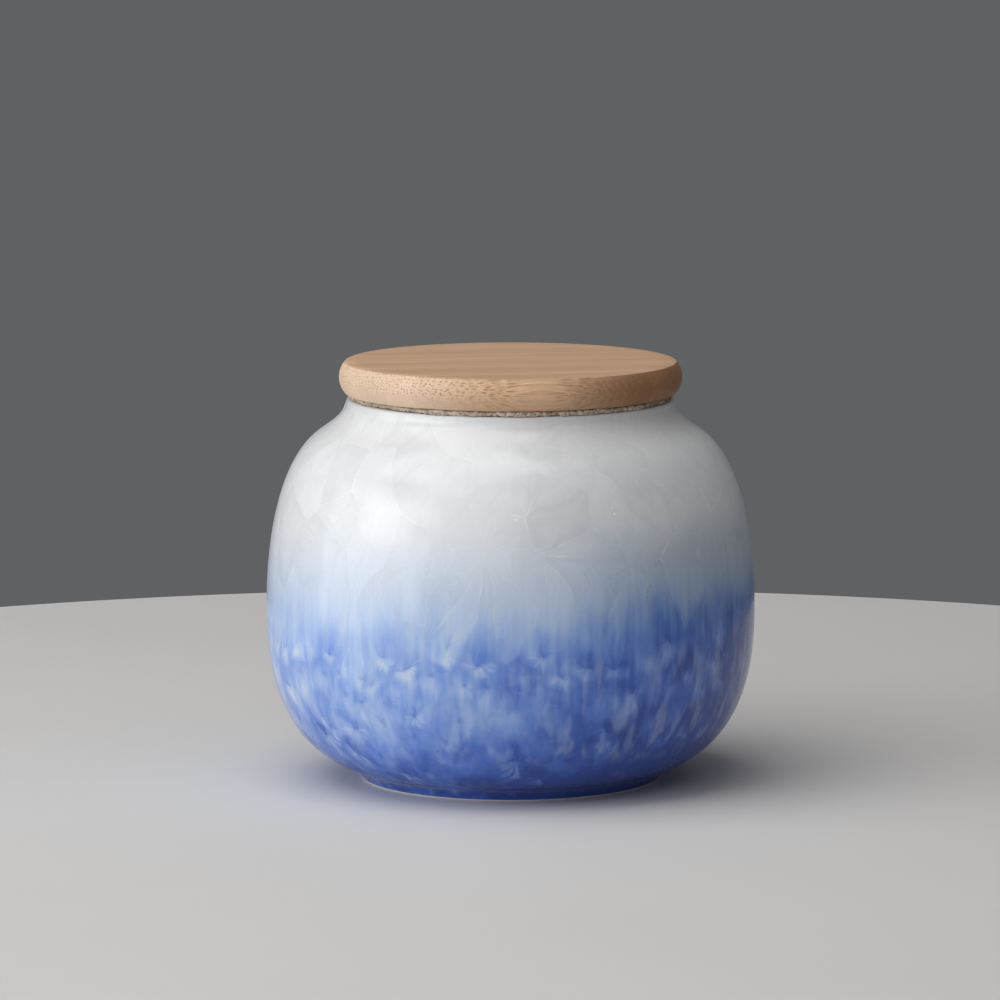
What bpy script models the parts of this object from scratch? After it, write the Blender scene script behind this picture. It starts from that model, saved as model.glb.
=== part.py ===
"""Keepsake funeral urn: a hollow porcelain jar, a turned bamboo lid and a fibre ring under the lid.

Metres, +Z up. The origin is the centre of the foot, on the surface that the urn stands on.
Every piece is a profile of (radius, height) points, spun about Z into one closed solid.
"""

from math import atan2, cos, hypot, pi, radians, sin, tau

import bmesh
import bpy

MM = 0.001

# Jar, outside
BODY_DIAMETER = 125.0 * MM
BELLY_HEIGHT = 45.5 * MM
BASE_BELOW_FOOT = 0.5 * MM
CROWN_BELOW_RIM = 3.4 * MM
BASE_FULLNESS = (2.54, 3.9)
CROWN_FULLNESS = (1.94, 6.8)

# Foot ring
FOOT_DIAMETER = 76.2 * MM
FOOT_HEIGHT = 4.4 * MM
FOOT_FLARE = 1.1 * MM
FOOT_FLARE_HEIGHT = 2.9 * MM
FOOT_EDGE_ROUND = 0.5 * MM
FOOT_RING_WIDTH = 4.2 * MM
FOOT_RECESS_DEPTH = 2.2 * MM
FOOT_RECESS_SLOPE = 1.4 * MM

# Neck and rim
RIM_HEIGHT = 97.9 * MM
NECK_DIAMETER = 83.8 * MM
NECK_COVE_HEIGHT = 7.7 * MM
MOUTH_DIAMETER = 74.0 * MM
RIM_EDGE_ROUND = 0.6 * MM

# Walls of the jar
WALL = 4.2 * MM
FLOOR = 4.6 * MM

# Lid
LID_THICKNESS = 8.2 * MM
LID_TOP_DIAMETER = 84.2 * MM
LID_SIDE_BULGE = 1.7 * MM
LID_EDGE_ROUND = 0.3 * MM
SPIGOT_DEPTH = 5.0 * MM
SPIGOT_CLEARANCE = 1.2 * MM
SPIGOT_CHAMFER = 0.6 * MM

# Fibre ring between the rim and the lid
LINER_THICKNESS = 0.8 * MM
LINER_SETBACK = 0.4 * MM
LINER_CLEARANCE = 0.6 * MM

# Gap between two pieces that touch
CONTACT_GAP = 0.3 * MM

SEGMENTS = 64
BELLY_STEPS = 19
HOLLOW_STEPS = 14
COVE_STEPS = 5
ROUND_STEPS = 3
LID_SIDE_STEPS = 10
WELD_DISTANCE = 0.000001
COVE_CORNER_LIMIT = 0.8
SHARP_ANGLE = radians(32)

BODY_RADIUS = BODY_DIAMETER / 2
BASE_DROP = BELLY_HEIGHT + BASE_BELOW_FOOT
CROWN_RISE = RIM_HEIGHT - CROWN_BELOW_RIM - BELLY_HEIGHT
FOOT_RADIUS = FOOT_DIAMETER / 2
NECK_RADIUS = NECK_DIAMETER / 2
MOUTH_RADIUS = MOUTH_DIAMETER / 2
LID_TOP_RADIUS = LID_TOP_DIAMETER / 2
SPIGOT_RADIUS = MOUTH_RADIUS - SPIGOT_CLEARANCE
FLOOR_HEIGHT = FOOT_RECESS_DEPTH + FLOOR
LINER_BOTTOM = RIM_HEIGHT + CONTACT_GAP
LINER_TOP = LINER_BOTTOM + LINER_THICKNESS
LID_BOTTOM = LINER_TOP + CONTACT_GAP
LID_TOP = LID_BOTTOM + LID_THICKNESS


def clear_scene():
    """Remove every object that is already in the file."""
    for thing in list(bpy.data.objects):
        bpy.data.objects.remove(thing)


def belly_point(angle, inset=0.0):
    """Point of the belly curve, from -90 degrees at the base to 90 at the crown.

    Each half is a superellipse. The lower one would close just below the foot, the upper one just
    below the rim. With an inset the point moves along the wall's normal, inwards.
    """
    rise, (power_up, power_out) = (
        (CROWN_RISE, CROWN_FULLNESS) if angle > 0 else (-BASE_DROP, BASE_FULLNESS)
    )
    radius = BODY_RADIUS * cos(angle) ** (2 / power_out)
    height = BELLY_HEIGHT + rise * abs(sin(angle)) ** (2 / power_up)
    if not inset:
        return radius, height
    step = 0.0005
    lower, upper = belly_point(angle - step), belly_point(angle + step)
    run_out, run_up = upper[0] - lower[0], upper[1] - lower[1]
    length = hypot(run_out, run_up)
    return radius - inset * run_up / length, height + inset * run_out / length


def solve_angle(measure, target, low, high):
    """Angle between low and high where a steadily changing measure meets its target."""
    rising = measure(high) > measure(low)
    for _ in range(50):
        middle = (low + high) / 2
        if (measure(middle) < target) == rising:
            low = middle
        else:
            high = middle
    return (low + high) / 2


def belly_stretch(first, last, steps, inset=0.0):
    """Points of the belly curve between two angles, both ends included."""
    return [belly_point(first + (last - first) * i / steps, inset) for i in range(steps + 1)]


def arc(centre, radius, first, last, steps):
    """Points of a circular arc between two angles, both ends included."""
    angles = [first + (last - first) * i / steps for i in range(steps + 1)]
    return [(centre[0] + radius * cos(a), centre[1] + radius * sin(a)) for a in angles]


def cove(start, corner, end, steps):
    """Points of a smooth hollow that leaves start and meets end in line with the corner."""
    points = []
    for i in range(1, steps):
        t = i / steps
        weights = ((1 - t) ** 2, 2 * t * (1 - t), t ** 2)
        points.append(tuple(
            sum(w * p[axis] for w, p in zip(weights, (start, corner, end))) for axis in (0, 1)
        ))
    return points


def foot_profile(belly_start):
    """From the middle of the recess under the jar, round the foot ring, up its cove to the belly."""
    ring_inside = FOOT_RADIUS - FOOT_RING_WIDTH
    edge = arc((FOOT_RADIUS - FOOT_EDGE_ROUND, FOOT_EDGE_ROUND), FOOT_EDGE_ROUND, -pi / 2, 0, ROUND_STEPS)
    corner = (FOOT_RADIUS + FOOT_FLARE, FOOT_FLARE_HEIGHT)
    return [
        (0.0, FOOT_RECESS_DEPTH),
        (ring_inside - FOOT_RECESS_SLOPE, FOOT_RECESS_DEPTH),
        (ring_inside, 0.0),
        *edge,
        *cove(edge[-1], corner, belly_start, COVE_STEPS),
    ]


def neck_profile(shoulder, slope):
    """Cove from the shoulder up to the neck, then over the rounded rim to the mouth.

    Slope is the shoulder's run inwards for each unit of height, where the cove starts.
    """
    neck_top = (NECK_RADIUS, RIM_HEIGHT - RIM_EDGE_ROUND)
    rise = min((shoulder[0] - NECK_RADIUS) / slope, COVE_CORNER_LIMIT * (neck_top[1] - shoulder[1]))
    corner = (NECK_RADIUS, shoulder[1] + rise)
    outer = arc((NECK_RADIUS - RIM_EDGE_ROUND, neck_top[1]), RIM_EDGE_ROUND, 0, pi / 2, ROUND_STEPS)
    inner = arc((MOUTH_RADIUS + RIM_EDGE_ROUND, neck_top[1]), RIM_EDGE_ROUND, pi / 2, pi, ROUND_STEPS)
    return cove(shoulder, corner, neck_top, COVE_STEPS) + outer + inner


def hollow_profile():
    """The inside of the jar, from the mouth down to the middle of the floor."""
    mouth = solve_angle(lambda a: belly_point(a, WALL)[0], MOUTH_RADIUS, 0.0, pi / 2 - 0.01)
    floor = solve_angle(lambda a: belly_point(a, WALL)[1], FLOOR_HEIGHT, -pi / 2 + 0.01, 0.0)
    return belly_stretch(mouth, floor, HOLLOW_STEPS, WALL) + [(0.0, FLOOR_HEIGHT)]


def jar_profile():
    """The jar's whole section, from under the foot, up the outside and down the inside."""
    start = solve_angle(lambda a: belly_point(a)[1], FOOT_HEIGHT, -pi / 2, 0.0)
    top = RIM_HEIGHT - NECK_COVE_HEIGHT
    end = solve_angle(lambda a: belly_point(a)[1], top, 0.0, pi / 2)
    belly = belly_stretch(start, end, BELLY_STEPS)
    below, shoulder = belly_point(end - 0.01), belly[-1]
    slope = (below[0] - shoulder[0]) / (shoulder[1] - below[1])
    return foot_profile(belly[0]) + belly + neck_profile(shoulder, slope) + hollow_profile()


def lid_profile():
    """The lid's section: the spigot, the underside, the bulging side and the flat top."""
    half = LID_THICKNESS / 2
    side_radius = (half ** 2 + LID_SIDE_BULGE ** 2) / (2 * LID_SIDE_BULGE)
    centre = (LID_TOP_RADIUS + LID_SIDE_BULGE - side_radius, LID_BOTTOM + half)
    reach = atan2(half, side_radius - LID_SIDE_BULGE) - LID_EDGE_ROUND / side_radius
    spigot_bottom = LID_BOTTOM - SPIGOT_DEPTH
    return [
        (0.0, spigot_bottom),
        (SPIGOT_RADIUS - SPIGOT_CHAMFER, spigot_bottom),
        (SPIGOT_RADIUS, spigot_bottom + SPIGOT_CHAMFER),
        (SPIGOT_RADIUS, LID_BOTTOM),
        (LID_TOP_RADIUS - LID_EDGE_ROUND, LID_BOTTOM),
        *arc(centre, side_radius, -reach, reach, LID_SIDE_STEPS),
        (LID_TOP_RADIUS - LID_EDGE_ROUND, LID_TOP),
        (0.0, LID_TOP),
    ]


def liner_profile():
    """The fibre ring's section, round the spigot and between the rim and the lid."""
    inside = SPIGOT_RADIUS + LINER_CLEARANCE
    outside = NECK_RADIUS - LINER_SETBACK
    edge = LINER_THICKNESS / 2
    return [
        (inside, LINER_BOTTOM),
        (outside - edge, LINER_BOTTOM),
        (outside, LINER_BOTTOM + edge),
        (outside - edge, LINER_TOP),
        (inside, LINER_TOP),
    ]


def make_material(name, colour, roughness):
    """A plain Principled material, not metallic."""
    material = bpy.data.materials.new(name)
    material.use_nodes = True
    shader = material.node_tree.nodes["Principled BSDF"]
    shader.inputs["Base Color"].default_value = (*colour, 1.0)
    shader.inputs["Roughness"].default_value = roughness
    shader.inputs["Metallic"].default_value = 0.0
    material.diffuse_color = (*colour, 1.0)
    return material


def turned_piece(name, profile, material, closed=False):
    """Spin a profile about Z. An open profile starts and ends on the axis."""
    shape = bmesh.new()
    points = [shape.verts.new((radius, 0.0, height)) for radius, height in profile]
    followers = points[1:] + points[:1] if closed else points[1:]
    edges = [shape.edges.new(pair) for pair in zip(points, followers)]
    bmesh.ops.spin(
        shape, geom=points + edges, cent=(0, 0, 0), axis=(0, 0, 1), angle=tau,
        steps=SEGMENTS, use_merge=True, use_duplicate=False,
    )
    bmesh.ops.remove_doubles(shape, verts=shape.verts, dist=WELD_DISTANCE)
    bmesh.ops.recalc_face_normals(shape, faces=shape.faces)
    mesh = bpy.data.meshes.new(name)
    shape.to_mesh(mesh)
    shape.free()
    mesh.shade_smooth()
    mesh.set_sharp_from_angle(angle=SHARP_ANGLE)
    mesh.materials.append(material)
    piece = bpy.data.objects.new(name, mesh)
    bpy.context.collection.objects.link(piece)
    return piece


def main():
    clear_scene()
    porcelain = make_material("glazed_porcelain", (0.55, 0.63, 0.80), 0.12)
    bamboo = make_material("bamboo", (0.60, 0.40, 0.24), 0.50)
    fibre = make_material("fibre", (0.48, 0.43, 0.37), 0.90)
    turned_piece("jar", jar_profile(), porcelain)
    turned_piece("lid", lid_profile(), bamboo)
    turned_piece("lid_liner", liner_profile(), fibre, closed=True)


main()
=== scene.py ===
"""Looks of the funeral urn: its crystalline-glazed jar, bamboo lid and fibre liner, in a plain studio.

Lengths in this script are millimetres until a mesh, a light or the camera is made. The front of the urn
faces -Y. An angle round the urn is 0 at the front and grows towards +X.
"""

import math
import random

import bmesh
import bpy
import numpy as np
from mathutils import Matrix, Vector, geometry, noise

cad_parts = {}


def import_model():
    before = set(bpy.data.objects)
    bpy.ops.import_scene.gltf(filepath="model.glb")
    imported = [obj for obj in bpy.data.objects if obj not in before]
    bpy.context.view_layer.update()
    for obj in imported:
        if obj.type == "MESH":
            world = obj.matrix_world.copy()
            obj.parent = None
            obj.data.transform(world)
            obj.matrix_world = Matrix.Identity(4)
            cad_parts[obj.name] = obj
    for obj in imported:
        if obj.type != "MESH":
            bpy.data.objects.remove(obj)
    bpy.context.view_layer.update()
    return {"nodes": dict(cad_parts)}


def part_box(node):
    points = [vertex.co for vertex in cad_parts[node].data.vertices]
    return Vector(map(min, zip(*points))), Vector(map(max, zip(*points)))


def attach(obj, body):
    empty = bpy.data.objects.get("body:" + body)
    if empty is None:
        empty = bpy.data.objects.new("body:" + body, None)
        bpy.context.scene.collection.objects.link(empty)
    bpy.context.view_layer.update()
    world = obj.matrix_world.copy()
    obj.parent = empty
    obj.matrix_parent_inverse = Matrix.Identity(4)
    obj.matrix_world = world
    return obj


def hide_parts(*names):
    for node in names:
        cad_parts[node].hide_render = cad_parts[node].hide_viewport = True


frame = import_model()

# Without a seed of its own, the noise of mathutils takes the clock's, and no two runs are alike.
NOISE_SEED = 3
noise.seed_set(NOISE_SEED)

MM = 0.001

# The sheet of glaze: the outside of the jar, unrolled. It is measured round the belly and up the wall.
BELLY_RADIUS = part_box("jar")[1].x / MM
GIRTH = 2 * math.pi * BELLY_RADIUS
GLAZE_START = 0.5
GLAZE_END = 97.5
# The jar's section is on the outside of its foot beyond this radius.
FOOT_OUTSIDE = 38
TABLE_STEP = 0.05

# (angle in degrees, height) of the crystals that are listed one by one, most of them at the front
WHITE_CRYSTALS = (
    (-38, 92), (-5.4, 70), (-18, 82), (-47, 74), (-50, 84), (-34, 67), (-54, 65), (14.7, 76), (18, 68),
    (22, 75), (33, 94.5), (35, 88), (48, 84), (64, 81), (68.5, 73), (34, 69.4), (9.4, 92.5), (13, 84),
    (-16.2, 60), (-23, 64), (38, 76.5), (50, 76.5), (17.6, 64), (46, 61.6), (0.1, 53.5),
)
STREAK_CRYSTALS = (
    (-71, 37), (-56.6, 31), (-64.5, 26), (-47.4, 35), (-35.3, 37), (-40.5, 32), (-32.9, 35), (-28, 29),
    (-23.6, 38), (-18.5, 35), (-14.6, 44.7), (-9.6, 33.3), (-5.6, 39), (4.7, 35.7), (7.1, 39.4),
    (23.3, 39), (31, 40), (35, 30.5), (43, 26.5), (53, 31), (62, 40), (67, 53), (58, 50),
)
BLUE_CRYSTALS = (
    (-51, 20.5), (-48.5, 19), (-54, 14), (-45, 12.5), (-37, 13), (-23, 24.3), (-24, 18.6), (-23, 10.4),
    (-10.4, 22.8), (-10.5, 14), (0.6, 12), (14.5, 11.5), (35, 25), (41, 17), (22.4, 20), (11.7, 25.7),
    (1, 26), (32.7, 9), (51.5, 18), (-67.6, 18.2), (-31.3, 24.4), (-15.2, 17.5),
)
CRYSTAL_SEED = 11
CRYSTAL_TRIES = 30000
# (lowest height, highest height, spacing) of the crystals that are scattered
CRYSTAL_BANDS = ((62, 97, 18), (28, 41, 8), (6, 28, 10.5), (0.5, 6, 6))
# (lowest height, highest height, squeeze): crystals there grow that much taller than they are wide
TALL_ZONES = ((41, 62, 0.3), (7, 31, 0.62))
# A crystal's spacing is its band's times a share between these two.
SPACING_SHARES = (0.6, 1.35)
# The squeeze fades out over this much height, half of it inside the zone's end.
ZONE_FADE = 4
# Crystals this close to the sheet's borders are repeated beyond them.
SHEET_MARGIN = 45
# Lengths of the mesh's steps along a crystal's border and out from its nucleus
BORDER_STEP = 1.3
RING_STEP = 3.5
# (size of a wave, how far it shifts the glaze, how far its noise lies from the others)
DRIFT_WAVES = ((24, 4.5, 0), (9, 1.1, 80), (3.6, 0.4, 40))
# The glaze's drift fades out over this much wall at both ends. It is longer than the drift ever is, so
# that no cell folds over its neighbour there.
DRIFT_FADE = 8
# Vertices closer than this, in metres, are one.
WELD = 2e-6


def section_of(node):
    """The corners of a turned node's section, as (radius, height), along the wall from axis to axis.
    A node's flat discs have no corner on the axis, so the two ends are added."""
    mesh = frame["nodes"][node].data
    near = 1e-6
    flat = {
        v.index: (round(max(v.co.x, 0) / MM, 3), round(v.co.z / MM, 3))
        for v in mesh.vertices
        if abs(v.co.y) < near and v.co.x > -near
    }
    links = {}
    for edge in mesh.edges:
        a, b = (flat.get(i) for i in edge.vertices)
        if a and b and a != b:
            links.setdefault(a, set()).add(b)
            links.setdefault(b, set()).add(a)
    here = min((p for p in links if len(links[p]) == 1), key=lambda p: p[1])
    chain = [(0.0, here[1]), here]
    while True:
        onward = [p for p in links[here] if p not in chain]
        if not onward:
            return chain + [(0.0, here[1])]
        here = onward[0]
        chain.append(here)


def smooth_curve(points):
    """A natural cubic spline through the points, as rows of (length along, radius, height, normal)."""
    points = np.array(points, float)
    at = np.concatenate([[0], np.cumsum(np.hypot(*np.diff(points, axis=0).T))])
    gap = np.diff(at)
    count = len(at)
    matrix, right = np.eye(count), np.zeros((count, 2))
    for i in range(1, count - 1):
        matrix[i, i - 1 : i + 2] = gap[i - 1], 2 * (gap[i - 1] + gap[i]), gap[i]
        slope = (points[i + 1] - points[i]) / gap[i] - (points[i] - points[i - 1]) / gap[i - 1]
        right[i] = 6 * slope
    bend = np.linalg.solve(matrix, right)
    t = np.arange(0, at[-1], TABLE_STEP)
    i = np.clip(np.searchsorted(at, t, side="right") - 1, 0, count - 2)
    before, after, h = (t - at[i])[:, None], (at[i + 1] - t)[:, None], gap[i][:, None]
    curve = (
        (bend[i] * after**3 + bend[i + 1] * before**3) / (6 * h)
        + (points[i] / h - bend[i] * h / 6) * after
        + (points[i + 1] / h - bend[i + 1] * h / 6) * before
    )
    curve = np.vstack([curve, points[-1]])
    tangent = np.gradient(curve, axis=0)
    tangent /= np.hypot(*tangent.T)[:, None]
    along = np.concatenate([[0], np.cumsum(np.hypot(*np.diff(curve, axis=0).T))])
    return np.column_stack([along, curve, tangent[:, 1], -tangent[:, 0]])


JAR_SECTION = section_of("jar")
RIM_TOP = max(range(len(JAR_SECTION)), key=lambda i: JAR_SECTION[i][1])
GLAZE_FIRST = next(
    i for i, (radius, height) in enumerate(JAR_SECTION)
    if height >= GLAZE_START and radius > FOOT_OUTSIDE
)
GLAZE_LAST = next(i for i in range(RIM_TOP, 0, -1) if JAR_SECTION[i][1] <= GLAZE_END)
WALL = smooth_curve(JAR_SECTION[GLAZE_FIRST : GLAZE_LAST + 1])
WALL_LENGTH = WALL[-1, 0]


def squeeze_table():
    """For each row of WALL, the squeezed length up to it. On the squeezed sheet, every crystal is as
    tall as it is wide."""
    rate = np.ones(len(WALL))
    for low, high, squeeze in TALL_ZONES:
        off_middle = np.abs(WALL[:, 2] - (low + high) / 2)
        inside = np.clip(((high - low + ZONE_FADE) / 2 - off_middle) / ZONE_FADE, 0, 1)
        rate -= (1 - squeeze) * inside * inside * (3 - 2 * inside)
    step = np.diff(WALL[:, 0])
    return np.concatenate([[0], np.cumsum((rate[1:] + rate[:-1]) / 2 * step)])


SQUEEZED = squeeze_table()
SHEET_HEIGHT = SQUEEZED[-1]


def sheet_point(angle, height):
    """An angle in degrees and a height on the jar, as a point of the squeezed sheet."""
    return math.radians(angle) * BELLY_RADIUS, float(np.interp(height, WALL[:, 2], SQUEEZED))


def scatter_crystals():
    """Where the crystals start: the named ones, then others wherever there is room round the jar."""
    found = [sheet_point(a, h) for a, h in WHITE_CRYSTALS + STREAK_CRYSTALS + BLUE_CRYSTALS]
    dice = random.Random(CRYSTAL_SEED)
    half = GIRTH / 2
    for _ in range(CRYSTAL_TRIES):
        u, w = dice.uniform(-half, half), dice.uniform(0, SHEET_HEIGHT)
        height = np.interp(w, SQUEEZED, WALL[:, 2])
        spacing = next((s for low, high, s in CRYSTAL_BANDS if low <= height <= high), None)
        if spacing is None:
            continue
        spacing *= dice.uniform(*SPACING_SHARES)
        clear = all(
            math.hypot((u - a + half) % GIRTH - half, w - b) > spacing
            for a, b in found
        )
        if clear:
            found.append((u, w))
    return found


def crystal_cells(nuclei):
    """For each nucleus, the corners of the patch that is nearer to it than to any other, in order.
    The sheet closes on itself sideways and is mirrored at its ends, so that its ends are straight."""
    points = [Vector(p) for p in nuclei]
    for turn in (-GIRTH, 0, GIRTH):
        for mirror in (None, 0, SHEET_HEIGHT):
            if turn == 0 and mirror is None:
                continue
            for u, w in nuclei:
                u, w = u + turn, w if mirror is None else 2 * mirror - w
                if abs(u) < GIRTH / 2 + SHEET_MARGIN and -SHEET_MARGIN < w < SHEET_HEIGHT + SHEET_MARGIN:
                    points.append(Vector((u, w)))
    out, _, faces, origin, _, _ = geometry.delaunay_2d_cdt(points, [], [], 0, 1e-6)
    corners = [[] for _ in nuclei]
    for face in faces:
        a, b, c = (np.array(out[i]) for i in face)
        ab, ac = b - a, c - a
        cross = 2 * (ab[0] * ac[1] - ab[1] * ac[0])
        if abs(cross) < 1e-9:
            continue
        centre = a + np.array([
            ac[1] * (ab @ ab) - ab[1] * (ac @ ac),
            ab[0] * (ac @ ac) - ac[0] * (ab @ ab),
        ]) / cross
        for i in face:
            for source in origin[i]:
                if source < len(nuclei):
                    corners[source].append(centre)
    cells = []
    for nucleus, around in zip(nuclei, corners):
        around.sort(key=lambda p: math.atan2(p[1] - nucleus[1], p[0] - nucleus[0]))
        cells.append(np.array(around))
    return cells


def divide_border(corners):
    """The border of a cell, divided into short steps as long as they are on the jar."""
    border = []
    for a, b in zip(corners, np.roll(corners, -1, axis=0)):
        tall = np.interp((a[1], b[1]), SQUEEZED, WALL[:, 0])
        length = math.hypot(b[0] - a[0], tall[1] - tall[0])
        if length > 1e-5:
            steps = math.ceil(length / BORDER_STEP - 1e-6)
            border += [a + (b - a) * k / steps for k in range(steps)]
    return np.array(border)


def drift(angle, along):
    """How far the glaze ran sideways and along at a point, which bends the borders and the rays."""
    place = Vector((math.sin(angle), math.cos(angle), 0)) * BELLY_RADIUS
    place.z = along
    shift = Vector()
    for size, amount, away in DRIFT_WAVES:
        shift += noise.noise_vector(place / size + Vector((away, 0, 0))) * amount
    hold = max(min(along / DRIFT_FADE, (WALL_LENGTH - along) / DRIFT_FADE, 1), 0)
    return shift.x * hold, shift.y * hold


def on_jar(u, w):
    """The point of the jar, in metres, for a point of the squeezed sheet."""
    along = float(np.interp(w, SQUEEZED, WALL[:, 0]))
    du, dv = drift(u / BELLY_RADIUS, along)
    along = min(max(along + dv, 0), WALL_LENGTH)
    angle = (u + du) / BELLY_RADIUS
    radius, height = (float(np.interp(along, WALL[:, 0], WALL[:, k])) for k in (1, 2))
    return radius * math.sin(angle) * MM, -radius * math.cos(angle) * MM, height * MM


def glaze_mesh():
    """Vertices and faces of the glazed outside. Each face corner also has a ray, which is its way from
    the nucleus and its distance to the crystal's border, and each face has its crystal's random
    numbers."""
    verts, faces, rays, seeds = [], [], [], []
    dice = random.Random(CRYSTAL_SEED + 1)
    nuclei = scatter_crystals()
    for nucleus, corners in zip(nuclei, crystal_cells(nuclei)):
        nucleus = np.array(nucleus)
        border = divide_border(corners)
        count = len(border)
        spokes = border - nucleus
        real_spokes = spokes.copy()
        foot = np.interp(nucleus[1], SQUEEZED, WALL[:, 0])
        real_spokes[:, 1] = np.interp(border[:, 1], SQUEEZED, WALL[:, 0]) - foot
        edge_way = np.roll(real_spokes, -1, axis=0) - np.roll(real_spokes, 1, axis=0)
        edge_way /= np.maximum(np.hypot(*edge_way.T), 1e-9)[:, None]
        inset = np.abs(real_spokes[:, 0] * edge_way[:, 1] - real_spokes[:, 1] * edge_way[:, 0])
        rings = max(1, math.ceil(np.hypot(*real_spokes.T).max() / RING_STEP))
        first = len(verts)
        verts.append(on_jar(*nucleus))
        values = [(0.0, 0.0, float(inset.min()))]
        for ring in range(1, rings + 1):
            share = ring / rings
            for spoke, gap in zip(spokes, inset):
                verts.append(on_jar(*(nucleus + spoke * share)))
                values.append((spoke[0] * share, spoke[1] * share, gap * (1 - share)))
        seed = (dice.random(), dice.random(), dice.random())
        for j in range(count):
            k = (j + 1) % count
            faces.append((first, first + 1 + j, first + 1 + k))
            for ring in range(1, rings):
                low, high = first + 1 + (ring - 1) * count, first + 1 + ring * count
                faces.append((low + j, high + j, high + k, low + k))
        for face in faces[len(seeds):]:
            rays += [values[i - first] for i in face]
            seeds.append(seed)
    return verts, faces, rays, seeds


def ring_angles(verts, height):
    """The angles of the glaze's vertices at one of its ends, in order."""
    found = {
        round(math.atan2(x, -y), 6)
        for x, y, z in verts
        if abs(z / MM - height) < 1e-4
    }
    return sorted(found)


def turned(section, angles):
    """Vertices and faces of a section turned through the angles. A point on the axis is one vertex."""
    verts, faces, rings = [], [], []
    for radius, height in section:
        on_axis = radius < 1e-6
        rings.append((len(verts), on_axis))
        for a in angles[:1] if on_axis else angles:
            verts.append((radius * math.sin(a) * MM, -radius * math.cos(a) * MM, height * MM))
    count = len(angles)
    for (low, low_point), (high, high_point) in zip(rings, rings[1:]):
        for j in range(count):
            k = (j + 1) % count
            if low_point:
                faces.append((low, high + k, high + j))
            elif high_point:
                faces.append((low + j, low + k, high))
            else:
                faces.append((low + j, low + k, high + k, high + j))
    return verts, faces


def new_object(name, verts, faces, materials):
    mesh = bpy.data.meshes.new(name)
    mesh.from_pydata(verts, [], faces)
    for material in materials:
        mesh.materials.append(material)
    piece = bpy.data.objects.new(name, mesh)
    bpy.context.scene.collection.objects.link(piece)
    return piece


# The jar's material slots, and the distance to a border that is stored where there is no crystal
GLAZED, PLAIN, BARE = 0, 1, 2
NO_BORDER = 9.0
JAR_CREASE = math.radians(40)


def glazed_jar(glaze, inner_glaze, bare):
    """The jar: crystals outside, plain glaze over the rim and inside, and a bare foot ring."""
    verts, faces, rays, seeds = glaze_mesh()
    slots = [GLAZED] * len(faces)
    foot = JAR_SECTION[: GLAZE_FIRST + 1]
    rim = [(float(WALL[-1, 1]), float(WALL[-1, 2]))] + JAR_SECTION[GLAZE_LAST + 1 :]
    for section, joint, slot in ((foot, foot[-1], BARE), (rim, rim[0], PLAIN)):
        more, more_faces = turned(section, ring_angles(verts, joint[1]))
        first = len(verts)
        verts += more
        faces += [tuple(i + first for i in face) for face in more_faces]
        slots += [slot] * len(more_faces)
    rays += [(0.0, 0.0, NO_BORDER)] * (sum(len(f) for f in faces) - len(rays))
    seeds += [(0.5, 0.5, 0.5)] * (len(faces) - len(seeds))
    piece = new_object("crystal_glazed_jar", verts, faces, (glaze, inner_glaze, bare))
    mesh = piece.data
    for name, domain, values in (("ray", "CORNER", rays), ("seed", "FACE", seeds)):
        attribute = mesh.attributes.new(name, "FLOAT_VECTOR", domain)
        attribute.data.foreach_set("vector", np.array(values, np.float32).ravel())
    mesh.polygons.foreach_set("material_index", slots)
    work = bmesh.new()
    work.from_mesh(mesh)
    bmesh.ops.remove_doubles(work, verts=work.verts, dist=WELD)
    work.to_mesh(mesh)
    work.free()
    mesh.shade_smooth()
    mesh.set_sharp_from_angle(angle=JAR_CREASE)
    smooth_outside(mesh)
    return piece


def smooth_outside(mesh):
    """Gives the glaze the curved wall's own normals, so that its gloss shows no faces."""
    heights = WALL[:, 2]
    normals = np.zeros((len(mesh.loops), 3))
    for polygon in mesh.polygons:
        if polygon.material_index != GLAZED:
            continue
        for i in polygon.loop_indices:
            x, y, z = mesh.vertices[mesh.loops[i].vertex_index].co
            out, up = (np.interp(z / MM, heights, WALL[:, k]) for k in (3, 4))
            radius = math.hypot(x, y)
            normals[i] = x / radius * out, y / radius * out, up
    mesh.normals_split_custom_set(normals.tolist())


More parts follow.
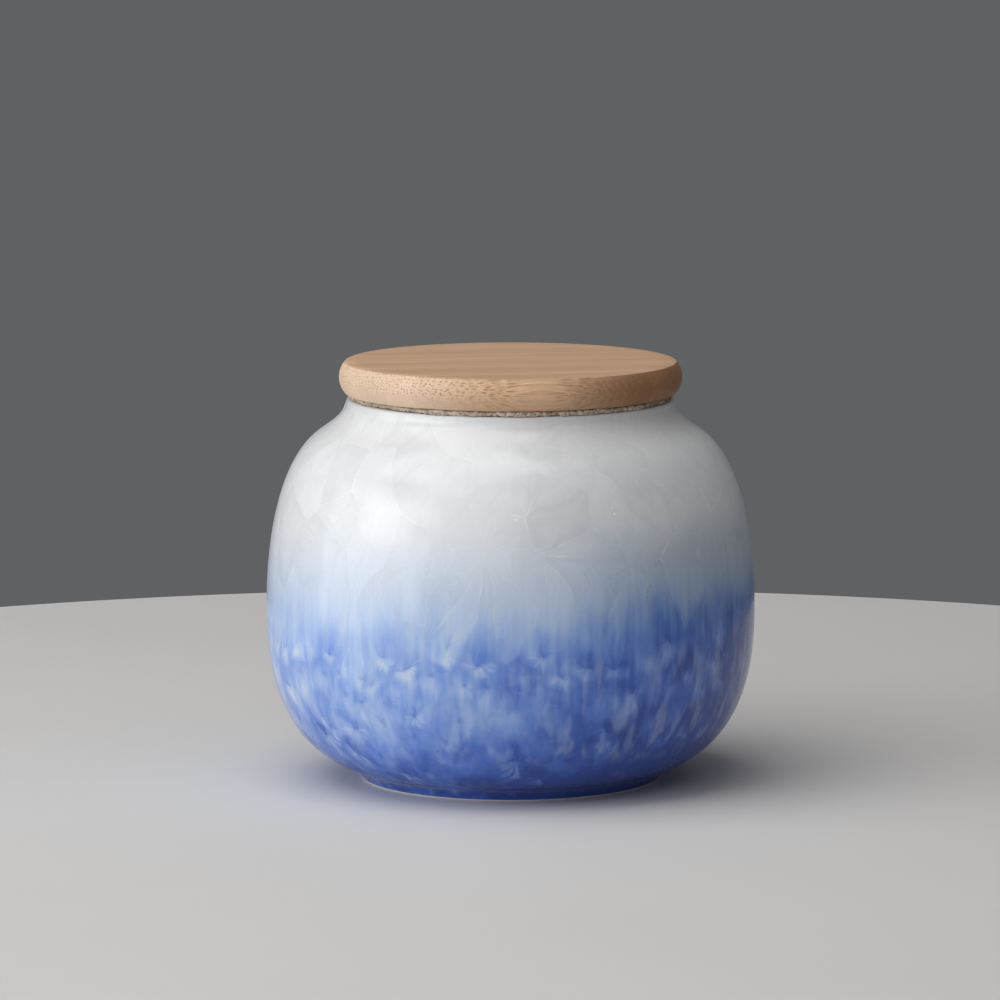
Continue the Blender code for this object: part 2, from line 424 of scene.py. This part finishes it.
class Graph:
    """A material's nodes. An input is a number, a colour, or another node's output."""

    def __init__(self, name):
        self.material = bpy.data.materials.new(name)
        self.material.use_nodes = True
        self.tree = self.material.node_tree
        self.tree.nodes.clear()

    def node(self, kind, inputs=(), **settings):
        node = self.tree.nodes.new("ShaderNode" + kind)
        for key, value in settings.items():
            setattr(node, key, value)
        for key, value in dict(inputs).items():
            if isinstance(value, bpy.types.NodeSocket):
                self.tree.links.new(value, node.inputs[key])
            else:
                node.inputs[key].default_value = value
        return node

    def math(self, operation, a, b=0.0, c=0.0, clamp=False):
        return self.node("Math", {0: a, 1: b, 2: c}, operation=operation, use_clamp=clamp).outputs[0]

    def add(self, *values):
        total = values[0]
        for value in values[1:]:
            total = self.math("ADD", total, value)
        return total

    def times(self, *values):
        total = values[0]
        for value in values[1:]:
            total = self.math("MULTIPLY", total, value)
        return total

    def centred(self, value):
        """A value from 0 to 1, as one from -0.5 to 0.5."""
        return self.add(value, -0.5)

    def vector(self, operation, a, b=(0, 0, 0), output="Vector"):
        return self.node("VectorMath", {0: a, 1: b}, operation=operation).outputs[output]

    def scaled(self, vector, scale):
        return self.node("VectorMath", {0: vector, "Scale": scale}, operation="SCALE").outputs[0]

    def split(self, vector):
        return self.node("SeparateXYZ", {0: vector}).outputs[:]

    def join(self, x, y, z):
        return self.node("CombineXYZ", {0: x, 1: y, 2: z}).outputs[0]

    def attribute(self, name, output="Vector"):
        return self.node("Attribute", attribute_name=name).outputs[output]

    def place(self):
        """The point of the piece, in millimetres."""
        return self.scaled(self.node("TexCoord").outputs["Object"], 1 / MM)

    def step(self, value, low, high, first=0.0, last=1.0):
        """Goes smoothly from first to last as value goes from low to high."""
        inputs = {0: value, 1: low, 2: high, 3: first, 4: last}
        return self.node("MapRange", inputs, interpolation_type="SMOOTHSTEP").outputs[0]

    def noise(self, vector, scale, detail=2.0, roughness=0.5, distortion=0.0, output="Fac"):
        inputs = {"Vector": vector, "Scale": scale, "Detail": detail, "Roughness": roughness,
                  "Distortion": distortion}
        return self.node("TexNoise", inputs).outputs[output]

    def patches(self, vector, scale, randomness=1.0, output="Color", dimensions="3D"):
        inputs = {"Vector": vector, "Scale": scale, "Randomness": randomness}
        return self.node("TexVoronoi", inputs, voronoi_dimensions=dimensions).outputs[output]

    def ramp(self, value, stops, interpolation="LINEAR"):
        node = self.node("ValToRGB", {0: value})
        ramp = node.color_ramp
        ramp.interpolation = interpolation
        while len(ramp.elements) < len(stops):
            ramp.elements.new(0.5)
        for element, (at, colour) in zip(ramp.elements, stops):
            element.position = at
            element.color = (*colour, 1) if hasattr(colour, "__len__") else (colour,) * 3 + (1,)
        return node.outputs[0]

    def mix(self, factor, a, b, blend="MIX"):
        node = self.node("Mix", data_type="RGBA", blend_type=blend)
        for key, value in ((0, factor), (6, a), (7, b)):
            if isinstance(value, bpy.types.NodeSocket):
                self.tree.links.new(value, node.inputs[key])
            elif key:
                node.inputs[key].default_value = (*value, 1)
            else:
                node.inputs[key].default_value = value
        return node.outputs[2]

    def brighten(self, colour, amount):
        """The colour times one plus the amount."""
        return self.vector("MULTIPLY", colour, self.join(*(self.add(amount, 1.0),) * 3))

    def bump(self, height, distance, strength=1.0):
        inputs = {"Height": height, "Distance": distance * MM, "Strength": strength}
        return self.node("Bump", inputs).outputs[0]

    def finish(self, **inputs):
        """Ends in a Principled shader. Words in a name are joined by an underscore."""
        named = {key.replace("_", " "): value for key, value in inputs.items()}
        for key, value in named.items():
            if isinstance(value, tuple):
                named[key] = (*value, 1)
        shader = self.node("BsdfPrincipled", named)
        output = self.node("OutputMaterial")
        self.tree.links.new(shader.outputs[0], output.inputs[0])
        return self.material


# (angle in degrees, height) of tiny painted glints on the glaze: white highlights, each in a faint ring of
# painted shade
GLAZE_GLINTS = ((1.2, 74.4), (25.7, 76.6), (26.2, 75.1))
# The zones of the glaze sink by this much for every millimetre towards -X.
GLAZE_TILT = 0.075
# Heights between which a zone sets in or fades out. The first one in a pair is outside the zone.
BLUE_ZONE = (58.0, 36.0)
STREAK_TOP, STREAK_END = (62.0, 50.0), (24.0, 34.0)
PETAL_TOP, PETAL_END = (48.0, 38.0), (3.0, 7.0)
WHITE_TO_BLUE = (66.0, 40.0)
# How much cobalt the glaze holds, by its height in decimetres
COBALT = (
    (0.02, 0.86), (0.10, 0.79), (0.20, 0.58), (0.30, 0.43), (0.37, 0.49), (0.45, 0.40),
    (0.54, 0.26), (0.63, 0.11), (0.73, 0.0),
)
# The glaze's colour, by how much pigment it holds
GLAZE_COLOURS = (
    (0.0, (0.80, 0.80, 0.80)), (0.12, (0.67, 0.73, 0.82)), (0.3, (0.46, 0.59, 0.83)),
    (0.45, (0.30, 0.44, 0.80)), (0.6, (0.18, 0.32, 0.74)), (0.75, (0.09, 0.20, 0.63)),
    (0.9, (0.045, 0.125, 0.50)), (1.0, (0.03, 0.08, 0.38)),
)
PETAL_COLOUR, LONG_PETAL_COLOUR = (0.62, 0.73, 0.93), (0.60, 0.70, 0.88)
WHITE_LINE, BLUE_LINE = (0.93, 0.93, 0.94), (0.74, 0.81, 0.93)
# The painted highlight of a glint, and the painted shade round it
GLINT_COLOUR, GLINT_SHADE = (0.98, 0.98, 0.98), (0.40, 0.40, 0.40)
NUCLEUS_COLOUR = (0.06, 0.13, 0.48)
GLAZE_IOR = 1.52


def on_wall(angle, height):
    """The point of the jar's outside at an angle in degrees and a height, in millimetres."""
    radius = float(np.interp(height, WALL[:, 2], WALL[:, 1]))
    a = math.radians(angle)
    return radius * math.sin(a), -radius * math.cos(a), height


class GlazeGraph(Graph):
    """The nodes of the crystalline glaze. It knows a point's place in its crystal and in the zones."""

    def __init__(self, name):
        super().__init__(name)
        self.at = self.place()
        self.x, self.y, self.z = self.split(self.at)
        self.find_crystal()
        self.find_rays()
        self.run = self.centred(self.noise(self.drawn_out(0.42, 0.03), 1.0, 3.0, 0.55))
        self.drip = self.noise(self.drawn_out(0.26, 0.065), 1.0, 2.0)
        self.find_zones()

    def find_crystal(self):
        """The way from the nucleus, the distance to the border and the crystal's random numbers."""
        du, dv, edge = self.split(self.attribute("ray"))
        self.seed = self.split(self.attribute("seed"))
        warp = [self.centred(part) for part in self.split(self.noise(self.at, 0.24, 2.0, output="Color"))]
        self.du = self.add(du, self.times(warp[0], 3.4))
        self.dv = self.add(dv, self.times(warp[1], 3.4))
        self.edge = self.add(edge, self.times(warp[2], 1.2))
        self.reach = self.math("SQRT", self.add(self.times(self.du, self.du), self.times(self.dv, self.dv)))
        self.turn = self.vector("NORMALIZE", self.join(self.du, self.dv, 0.0))
        self.upward = self.split(self.turn)[1]

    def fan(self, rays, salt, slide, detail, roughness=0.5):
        """Noise that changes with the direction from the nucleus, and slowly along it."""
        depth = self.add(self.times(self.seed[salt], 60.0), self.times(self.reach, slide))
        place = self.vector("ADD", self.scaled(self.turn, rays), self.join(0.0, 0.0, depth))
        return self.noise(place, 1.0, detail, roughness)

    def find_rays(self):
        """Tones that fan out from the nucleus, from broad lobes to hairs."""
        self.broad_tone = self.centred(self.fan(1.5, 1, 0.06, 1.0))
        self.lobe = self.fan(2.0, 0, 0.03, 1.0)
        self.ray_tone = self.centred(self.fan(7.0, 2, 0.14, 3.0, 0.6))
        self.hair_tone = self.centred(self.fan(24.0, 0, 0.3, 2.0, 0.6))

    def drawn_out(self, across, up):
        """The point in other units across and up, for noise that runs down the wall."""
        return self.join(self.times(self.x, across), self.times(self.y, across), self.times(self.z, up))

    def find_zones(self):
        """The height in the glaze, which is tilted and uneven, and how far a point is in each zone."""
        cloud = self.times(self.centred(self.noise(self.at, 0.03, 1.0)), 10.0)
        self.height = self.add(self.z, self.times(self.x, -GLAZE_TILT), cloud)
        self.blue_zone = self.step(self.height, *BLUE_ZONE)
        below, above = self.step(self.height, *STREAK_TOP), self.step(self.height, *STREAK_END)
        self.streak_zone = self.times(below, above)
        self.petal_zone = self.times(self.step(self.height, *PETAL_TOP), self.step(self.z, *PETAL_END))
        self.rightward = self.step(self.x, -30.0, 40.0)

    def pigment(self):
        """How much cobalt there is at a point: by height, streaky and patchy, and more at the right, which
        is partly the glaze's own blue and partly painted shade.
        """
        cobalt = self.ramp(self.times(self.height, 0.01), COBALT, "B_SPLINE")
        # More cobalt towards the right: partly the glaze's own blue, partly painted shade on the side away
        # from the lamps.
        right_cobalt_and_shade = self.add(self.times(self.rightward, 0.34), self.step(self.x, 36.0, 62.0, 0.0, 0.20))
        border = self.times(self.step(self.edge, 2.4, 0.1), self.step(self.height, 54.0, 40.0), 0.085)
        crystal = self.add(
            self.times(self.centred(self.seed[1]), 0.12),
            self.times(self.broad_tone, 0.42),
            self.times(self.ray_tone, 0.30),
            self.times(self.upward, self.step(self.reach, 9.0, 0.4), 0.17),
        )
        inner = self.step(self.edge, 0.0, 2.4, 0.30, 1.0)
        bold = self.step(self.seed[0], 0.15, 0.9, 0.25, 1.0)
        blotch = self.centred(self.noise(self.at, 0.09, 2.0))
        return self.add(
            cobalt,
            self.times(self.step(self.height, 56.0, 32.0), right_cobalt_and_shade),
            self.times(self.streak_zone, self.add(border, self.times(self.run, 0.17), -0.02)),
            self.times(self.blue_zone, self.add(
                self.times(inner, bold, crystal),
                self.times(self.run, 0.26),
                self.times(blotch, 0.6),
            )),
        )

    def tone(self):
        """How much lighter or darker than its pigment a point is."""
        # Darker on the right between these heights: painted shade.
        painted_shade_right = self.times(
            self.step(self.x, 12.0, 42.0),
            self.step(self.height, 72.0, 60.0),
            self.step(self.height, 36.0, 48.0),
        )
        return self.add(
            self.times(self.broad_tone, 0.10),
            self.times(self.ray_tone, self.step(self.height, *WHITE_TO_BLUE, 0.12, 0.34)),
            self.times(self.hair_tone, self.step(self.height, *WHITE_TO_BLUE, 0.05, 0.10)),
            self.times(self.centred(self.seed[2]), 0.06),
            # Darker just inside the border of some crystals: painted shade, as of a crease round a raised
            # plate.
            self.times(self.step(self.edge, 3.5, 0.4), self.step(self.seed[1], 0.3, 0.7), -0.035),
            self.times(painted_shade_right, -0.22),
        )

    def petal(self):
        """Pale petals below the nuclei of the blue zone."""
        length = self.add(2.4, self.times(self.seed[1], 5.5), self.times(self.centred(self.lobe), 7.0))
        square = self.add(self.times(self.du, self.du, 2.2), self.times(self.dv, self.dv, 0.5))
        way = self.math("SQRT", square)
        return self.times(
            self.step(self.math("SUBTRACT", length, way), 0.0, 3.2),
            self.step(self.lobe, 0.43, 0.61),
            self.step(self.upward, 0.6, 0.0),
            self.step(self.reach, 0.2, 0.8),
            self.step(self.edge, 0.0, 1.0),
            self.step(self.seed[0], 0.25, 0.75, 0.1, 1.0),
            self.petal_zone,
            # The petals fade towards the right: painted shade.
            self.step(self.rightward, 0.0, 0.9, 0.32, 0.05),
            self.add(1.0, self.times(self.ray_tone, 1.2)),
        )

    def long_petal(self):
        """Pale drips in the lower blue."""
        low = self.times(self.step(self.z, 10.0, 16.0), self.step(self.height, 42.0, 34.0))
        return self.times(self.step(self.drip, 0.46, 0.70), low, 0.24)

    def border_line(self):
        """Thin pale lines on some borders between crystals."""
        return self.times(
            self.step(self.edge, 0.34, 0.04),
            self.step(self.noise(self.at, 0.07, 2.0), 0.48, 0.68),
            self.step(self.height, *WHITE_TO_BLUE, 0.40, 0.03),
            self.step(self.z, 5.0, 9.0),
        )

    def add_glint(self, colour, centre):
        """The colour with a tiny painted glint round the centre: a white highlight in a faint ring of
        painted shade.
        """
        gap = self.vector("DISTANCE", self.at, centre, output="Value")
        colour = self.mix(self.step(gap, 0.7, 0.4, 0.0, 0.12), colour, GLINT_SHADE)
        return self.mix(self.step(gap, 0.42, 0.22), colour, GLINT_COLOUR)

    def nucleus(self):
        """A small dark star where a crystal of the blue zone starts."""
        ragged = self.times(self.reach, self.step(self.ray_tone, -0.12, 0.12, 1.0, 0.4))
        return self.times(self.step(ragged, 0.9, 0.2), self.petal_zone, 0.32)


def crystalline_glaze():
    """White glaze above that runs into cobalt blue below, grown over with flat ray-like crystals."""
    g = GlazeGraph("crystalline_glaze")
    colour = g.brighten(g.ramp(g.pigment(), GLAZE_COLOURS), g.tone())
    colour = g.mix(g.petal(), colour, PETAL_COLOUR)
    colour = g.mix(g.long_petal(), colour, LONG_PETAL_COLOUR)
    colour = g.mix(g.border_line(), colour, g.mix(g.blue_zone, WHITE_LINE, BLUE_LINE))
    # Painted glints
    for angle, height in GLAZE_GLINTS:
        colour = g.add_glint(colour, on_wall(angle, height))
    colour = g.mix(g.nucleus(), colour, NUCLEUS_COLOUR)
    uneven = g.times(g.centred(g.noise(g.at, 0.4, 3.0)), 0.08)
    gloss = g.add(0.17, g.times(g.ray_tone, 0.12), uneven)
    surface = g.bump(g.noise(g.at, 0.12, 2.0), 0.12)
    return g.finish(Base_Color=colour, Roughness=gloss, Normal=surface, IOR=GLAZE_IOR)


def inner_glaze():
    """The plain white glaze of the rim and the inside."""
    g = Graph("white_glaze")
    place = g.place()
    cloud = g.noise(place, 0.09, 3.0)
    colour = g.mix(cloud, (0.78, 0.78, 0.76), (0.72, 0.74, 0.77))
    gloss = g.add(0.12, g.times(g.noise(place, 0.5, 2.0), 0.12))
    return g.finish(Base_Color=colour, Roughness=gloss, Normal=g.bump(cloud, 0.1), IOR=GLAZE_IOR)


def bare_porcelain():
    """Unglazed porcelain, wiped clean before firing."""
    g = Graph("bare_porcelain")
    place = g.place()
    grit = g.noise(place, 3.0, 4.0, 0.65)
    stain = g.noise(place, 0.15, 2.0)
    colour = g.mix(g.times(stain, 0.6), (0.78, 0.75, 0.70), (0.55, 0.47, 0.40))
    colour = g.brighten(colour, g.times(g.centred(grit), 0.18))
    rough = g.add(0.6, g.times(grit, 0.2))
    return g.finish(Base_Color=colour, Roughness=rough, Normal=g.bump(grit, 0.05))


# The bamboo's fibres run along X, turned by this many degrees.
GRAIN_TURN = 10
# The heights between which the cut fibres of the lid's edge set in
LID_DOTS = (101.2, 103.6)
BAMBOO_DARK, BAMBOO_PALE = (0.56, 0.335, 0.19), (0.69, 0.455, 0.295)
FIBRE_COLOUR = (0.40, 0.20, 0.09)
# Colours of the lid's side: darker and more orange at the right, partly the strips' own colour and partly
# painted shade; paler at the left, partly the wood's own tone and partly a painted sheen.
RIGHT_SIDE_TONE_AND_SHADE, LEFT_SIDE_TONE_AND_SHEEN = (0.36, 0.22, 0.13), (0.84, 0.70, 0.55)


def cut_fibres(g, x, across, up, z, sway):
    """How much a point lies in a cut bundle of fibres, and how much in the pale wood round one."""
    bundles = g.join(across, up, 0.0)
    dot = g.patches(bundles, 1.3, 0.6, output="Distance", dimensions="2D")
    small_dot = g.patches(bundles, 1.75, 0.65, output="Distance", dimensions="2D")
    dense = g.step(g.add(x, g.times(sway, 16.0)), 14.0, 30.0)
    bundle = g.add(
        g.times(g.step(dot, 0.34, 0.16), g.step(dense, 1.0, 0.0)),
        g.times(g.step(small_dot, 0.40, 0.2), dense),
    )
    above = g.step(z, *LID_DOTS, 0.15, 1.0)
    broken = g.noise(g.join(g.times(x, 0.35), g.times(across, 1.1), g.times(up, 1.1)), 1.0, 1.0)
    cut_across = g.step(g.math("ABSOLUTE", x), 2.5, 6.5, 0.12, 1.0)
    fibre = g.times(above, bundle, g.step(broken, 0.38, 0.54, 0.3, 1.0), cut_across)
    halo = g.times(g.step(dot, 0.65, 0.45), g.step(dot, 0.3, 0.45), above)
    return fibre, halo


def bamboo():
    """Strips of bamboo glued side by side, with their fibres near X: dots where the wood is cut across
    them, long streaks where it is cut along them."""
    g = Graph("laminated_bamboo")
    coordinates = g.node("TexCoord")
    place = g.scaled(coordinates.outputs["Object"], 1 / MM)
    turn = {"Vector": place, "Angle": math.radians(-GRAIN_TURN)}
    x, y, z = g.split(g.node("VectorRotate", turn, rotation_type="Z_AXIS").outputs[0])
    sway = g.noise(g.join(g.times(x, 0.03), g.times(y, 0.10), g.times(z, 0.10)), 1.0, 1.0)
    across = g.add(y, g.times(g.centred(sway), 1.2))
    lift = g.noise(g.join(g.times(x, 0.05), y, z), 0.2, 1.0)
    up = g.add(z, g.centred(lift))
    strip = g.split(g.patches(g.join(g.add(g.times(across, 0.155), 7.3), 0.0, 0.0), 1.0, 0.7))[0]
    fibre, halo = cut_fibres(g, x, across, up, z, sway)
    line = g.noise(g.join(g.times(x, 0.012), g.times(across, 1.8), g.times(z, 0.9)), 1.0, 4.0, 0.7)
    fine_line = g.noise(g.join(g.times(x, 0.02), g.times(across, 5.0), g.times(z, 3.0)), 1.0, 2.0, 0.6)
    colour = g.mix(g.step(line, 0.3, 0.7), BAMBOO_DARK, BAMBOO_PALE)
    colour = g.brighten(colour, g.add(
        g.times(g.centred(strip), 0.16),
        g.times(g.centred(fine_line), 0.22),
        g.times(halo, 0.14),
    ))
    up_facing = g.split(coordinates.outputs["Normal"])[2]
    side = g.step(up_facing, 0.9, 0.6)
    rightward = g.split(place)[0]
    colour = g.brighten(colour, g.times(side, 0.12))
    # The side turns darker and more orange towards the right: partly the strips' own colour, partly painted
    # shade.
    colour = g.mix(g.times(side, g.step(rightward, 8.0, 36.0), 0.75), colour, RIGHT_SIDE_TONE_AND_SHADE, "MULTIPLY")
    # The side turns paler towards the left: partly the wood's own tone, partly a painted sheen.
    colour = g.mix(g.times(side, g.step(rightward, 0.0, -30.0), 0.5), colour, LEFT_SIDE_TONE_AND_SHEEN)
    colour = g.mix(g.times(fibre, g.step(up_facing, 0.9, 0.6, 0.10, 0.66)), colour, FIBRE_COLOUR)
    colour = g.brighten(colour, g.times(g.centred(g.noise(place, 0.06, 2.0)), 0.12))
    rough = g.add(0.46, g.times(line, 0.16))
    relief = g.bump(g.add(g.times(fibre, -0.8), line), 0.06)
    return g.finish(Base_Color=colour, Roughness=rough, Normal=relief, Specular_IOR_Level=0.25)


# The liner's dark and pale fibre, and the painted shade in its holes
FELT_DARK, FELT_PALE, FELT_HOLE_SHADE = (0.40, 0.29, 0.20), (0.92, 0.80, 0.66), (0.13, 0.08, 0.055)


def fibre_felt():
    """The greyish beige fibre of the liner, with painted shade in its holes."""
    g = Graph("fibre_felt")
    place = g.place()
    strands = g.noise(place, 2.2, 5.0, 0.7, 1.5)
    clumps = g.noise(place, 0.5, 2.0)
    hole_shade = g.noise(place, 1.5, 2.0)
    colour = g.mix(g.step(strands, 0.3, 0.7), FELT_DARK, FELT_PALE)
    colour = g.brighten(colour, g.times(g.centred(clumps), 0.5))
    # Dark holes in the fibre: painted shade.
    colour = g.mix(g.step(hole_shade, 0.50, 0.36, 0.0, 0.6), colour, FELT_HOLE_SHADE)
    rough = g.add(0.8, g.times(strands, 0.15))
    return g.finish(Base_Color=colour, Roughness=rough, Normal=g.bump(strands, 0.2), Sheen_Weight=0.2)


def even_angles(count):
    return [2 * math.pi * k / count - math.pi for k in range(count)]


LID_TURNS = 224
LID_STEP = 3
LID_CREASE = math.radians(28)


def bamboo_lid(material):
    """The lid: the node's own section, divided into short steps and turned smoothly."""
    section = section_of("lid")
    points = []
    for a, b in zip(section, section[1:]):
        steps = max(1, round(math.dist(a, b) / LID_STEP))
        for k in range(steps):
            points.append((a[0] + (b[0] - a[0]) * k / steps, a[1] + (b[1] - a[1]) * k / steps))
    points.append(section[-1])
    verts, faces = turned(points, even_angles(LID_TURNS))
    piece = new_object("bamboo_lid", verts, faces, (material,))
    piece.data.shade_smooth()
    piece.data.set_sharp_from_angle(angle=LID_CREASE)
    return piece


LINER_TURNS = 1200
LINER_SIDES = 14
# The liner's section is a rounded rectangle. The nearer this power is to 0, the squarer it is.
LINER_POWER = 0.35
LINER_HALF_HEIGHT = 0.62
# How far the liner stands out at the front, how far its waves reach, how many they are in a radian,
# and how far it is set back away from the front
LINER_FRONT, LINER_WAVE, LINER_WAVES, LINER_SET_BACK = 0.3, 1.3, 6, 1.1
# The cosine of the angle where the set-back starts, and how much lower the cosine is where it is full
SET_BACK_START, SET_BACK_FADE = 0.86, 0.3
# (size of a lump, how high it is), then the shares of that which go outwards and up or down
LINER_LUMPS = ((1.1, 0.6), (0.5, 0.3))
LUMP_OUT, LUMP_UP = 1.3, 0.6
# How far the liner may reach past its node, outwards and up or down
LINER_OUT, LINER_UP = 0.45, 0.27


def rounded(part):
    """A sine or cosine, changed from a circle's to a rounded rectangle's."""
    return math.copysign(abs(part) ** LINER_POWER, part)


def liner_bulge(angle):
    """How far the liner stands out at an angle round the jar."""
    wave = noise.noise(Vector((math.sin(angle), math.cos(angle), 0.4)) * LINER_WAVES)
    away = min(max((SET_BACK_START - math.cos(angle)) / SET_BACK_FADE, 0), 1)
    return LINER_FRONT + LINER_WAVE * wave - LINER_SET_BACK * away


def crumpled_liner(material):
    """The liner: a band of fibre, squeezed and crumpled between the lid and the rim."""
    low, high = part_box("lid_liner")
    outer, low, high = high.x / MM, low.z / MM, high.z / MM
    inner = min(math.hypot(v.co.x, v.co.y) for v in frame["nodes"]["lid_liner"].data.vertices) / MM
    verts, faces = [], []
    for j in range(LINER_TURNS):
        a = 2 * math.pi * j / LINER_TURNS
        bulge = liner_bulge(a)
        for k in range(LINER_SIDES):
            b = 2 * math.pi * k / LINER_SIDES
            radius = (outer + inner) / 2 + (outer - inner) / 2 * rounded(math.cos(b))
            height = (low + high) / 2 + LINER_HALF_HEIGHT * rounded(math.sin(b))
            place = Vector((radius * math.sin(a), -radius * math.cos(a), height * 1.5))
            lump = Vector()
            for size, amount in LINER_LUMPS:
                lump += noise.noise_vector(place / size) * amount
            radius = min(radius + bulge + lump.x * LUMP_OUT, outer + LINER_OUT)
            height = min(max(height + lump.y * LUMP_UP, low - LINER_UP), high + LINER_UP)
            verts.append((radius * math.sin(a) * MM, -radius * math.cos(a) * MM, height * MM))
    for j in range(LINER_TURNS):
        a, b = j * LINER_SIDES, (j + 1) % LINER_TURNS * LINER_SIDES
        for k in range(LINER_SIDES):
            n = (k + 1) % LINER_SIDES
            faces.append((a + k, b + k, b + n, a + n))
    piece = new_object("crumpled_liner", verts, faces, (material,))
    piece.data.shade_smooth()
    return piece


# The studio: a pale round table in a grey room, and large soft lights, most of them at the left.
TABLE_RADIUS = 330
TABLE_SIDES = 240
PAPER_PALE, PAPER_DARK = (0.74, 0.72, 0.70), (0.70, 0.68, 0.66)
# All lights point at the middle of the urn.
LIGHT_TARGET = Vector((0, 0, 55))
COOL, WARM = (0.96, 0.98, 1.0), (1.0, 0.94, 0.88)


def studio_table():
    g = Graph("pale_paper")
    cloud = g.noise(g.place(), 0.01, 2.0)
    paper = g.finish(Base_Color=g.mix(cloud, PAPER_PALE, PAPER_DARK), Roughness=0.85)
    verts, faces = turned([(0, 0), (TABLE_RADIUS, 0)], even_angles(TABLE_SIDES))
    new_object("studio_table", verts, faces, (paper,))


def soft_light(name, azimuth, elevation, distance, width, height, power, colour=(1, 1, 1)):
    """A soft box aimed at the urn. Azimuth is from the front, towards +X."""
    light = bpy.data.lights.new(name, "AREA")
    light.shape = "RECTANGLE"
    light.size, light.size_y = width * MM, height * MM
    light.energy = power
    light.color = colour
    lamp = bpy.data.objects.new(name, light)
    lamp.visible_camera = False
    bpy.context.scene.collection.objects.link(lamp)
    a, e = math.radians(azimuth), math.radians(elevation)
    way = Vector((math.sin(a) * math.cos(e), -math.cos(a) * math.cos(e), math.sin(e)))
    lamp.location = (LIGHT_TARGET + way * distance) * MM
    lamp.rotation_euler = (-way).to_track_quat("-Z", "Y").to_euler()


# The camera stands where the photograph was taken from. The urn's axis is a little right of the middle.
CAMERA_DISTANCE = 1699.6
CAMERA_HEIGHT = 298.95
CAMERA_PITCH = 7.621
CAMERA_LENS = 241.37
CAMERA_SHIFT = -0.0106
CAMERA_SENSOR = 36


def camera():
    lens = bpy.data.cameras.new("camera")
    lens.lens, lens.sensor_width = CAMERA_LENS, CAMERA_SENSOR
    lens.shift_x = CAMERA_SHIFT
    lens.clip_start, lens.clip_end = 0.1, 20
    eye = bpy.data.objects.new("camera", lens)
    eye.location = (0, -CAMERA_DISTANCE * MM, CAMERA_HEIGHT * MM)
    eye.rotation_euler = (math.radians(90 - CAMERA_PITCH), 0, 0)
    bpy.context.scene.collection.objects.link(eye)
    bpy.context.scene.camera = eye


def world(colour, strength):
    made = bpy.data.worlds.new("studio")
    made.use_nodes = True
    background = made.node_tree.nodes["Background"]
    background.inputs[0].default_value = (*colour, 1)
    background.inputs[1].default_value = strength
    bpy.context.scene.world = made


camera()
world((0.93, 0.96, 1.0), 0.125)
studio_table()
soft_light("window_wall", -70, 12, 1250, 1500, 1000, 6.1, COOL)
soft_light("window", -65, 20, 1100, 470, 330, 1.33, COOL)
soft_light("front_fill", -25, 28, 2500, 2600, 1800, 15, COOL)
soft_light("ceiling", -60, 70, 1500, 1400, 1400, 11.9)
soft_light("ceiling_right", 40, 62, 1500, 1200, 1200, 1.0, WARM)
soft_light("low_window", -75, -2, 1100, 1000, 420, 0.7, COOL)

jar = glazed_jar(crystalline_glaze(), inner_glaze(), bare_porcelain())
lid = bamboo_lid(bamboo())
liner = crumpled_liner(fibre_felt())
for piece, node, slot in ((jar, "jar", "porcelain"), (lid, "lid", "bamboo"), (liner, "lid_liner", "fibre")):
    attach(piece, "root")
    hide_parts(node)

bpy.context.scene.view_settings.view_transform = "Standard"
